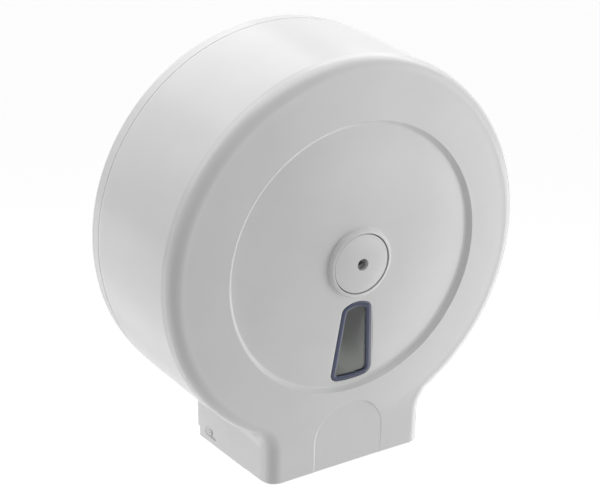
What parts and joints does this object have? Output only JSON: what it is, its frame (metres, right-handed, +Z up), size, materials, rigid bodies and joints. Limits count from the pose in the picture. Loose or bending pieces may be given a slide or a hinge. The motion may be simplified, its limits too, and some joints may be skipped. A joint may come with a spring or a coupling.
{
  "type": "jumbo toilet roll dispenser",
  "caption": "Round wall-mounted dispenser for jumbo toilet rolls: wall plate with turning core hub, and a lockable swing-down cover with viewing window and toothed outlet.",
  "frame": {"origin": "on the roll axis, in the plane of the wall that the plate is screwed to", "axes": "+X to the right seen from the front, +Y into the wall, +Z up; the front faces -Y"},
  "size_m": [0.28, 0.1158, 0.3021],
  "materials": {
    "white_abs": "moulded white ABS, glossy, very slightly rippled",
    "hub_plastic": "moulded natural polypropylene, satin",
    "tinted_pane": "dark blue-grey transparent moulded plastic with a frosted border",
    "grey_plastic": "dark grey moulded acetal",
    "zinc_steel": "bright zinc-plated steel",
    "felt": "pressed grey felt"
  },
  "bodies": {
    "wall_unit": {"wall_plate": "white_abs", "spindle_post": "white_abs", "post_screws": "zinc_steel", "brake_washer": "felt", "catch_plate": "zinc_steel", "catch_screws": "zinc_steel", "hinge_pin_left": "white_abs", "hinge_pin_right": "white_abs"},
    "cover": {"front_cover": "white_abs", "view_window": "tinted_pane", "window_clips": "zinc_steel", "lock_disc": "white_abs", "lock_housing": "grey_plastic", "lock_nut": "grey_plastic", "lock_spring": "zinc_steel"},
    "lock": {"lock_barrel": "grey_plastic", "lock_cam": "zinc_steel", "cam_washer": "zinc_steel", "cam_screw": "zinc_steel"},
    "hub": {"core_hub": "hub_plastic"}
  },
  "joints": [
    {"name": "cover_hinge", "type": "hinge", "parent": "wall_unit", "child": "cover", "pos_m": [0, -0.0264, -0.1533], "axis": [1, 0, 0], "range_deg": [0, 105]},
    {"name": "lock_turn", "type": "hinge", "parent": "cover", "child": "lock", "pos_m": [0, -0.1, 0], "axis": [0, 1, 0], "range_deg": [0, 90]},
    {"name": "hub_spin", "type": "hinge", "parent": "wall_unit", "child": "hub", "pos_m": [0, -0.05, 0], "axis": [0, 1, 0], "continuous": true}
  ]
}
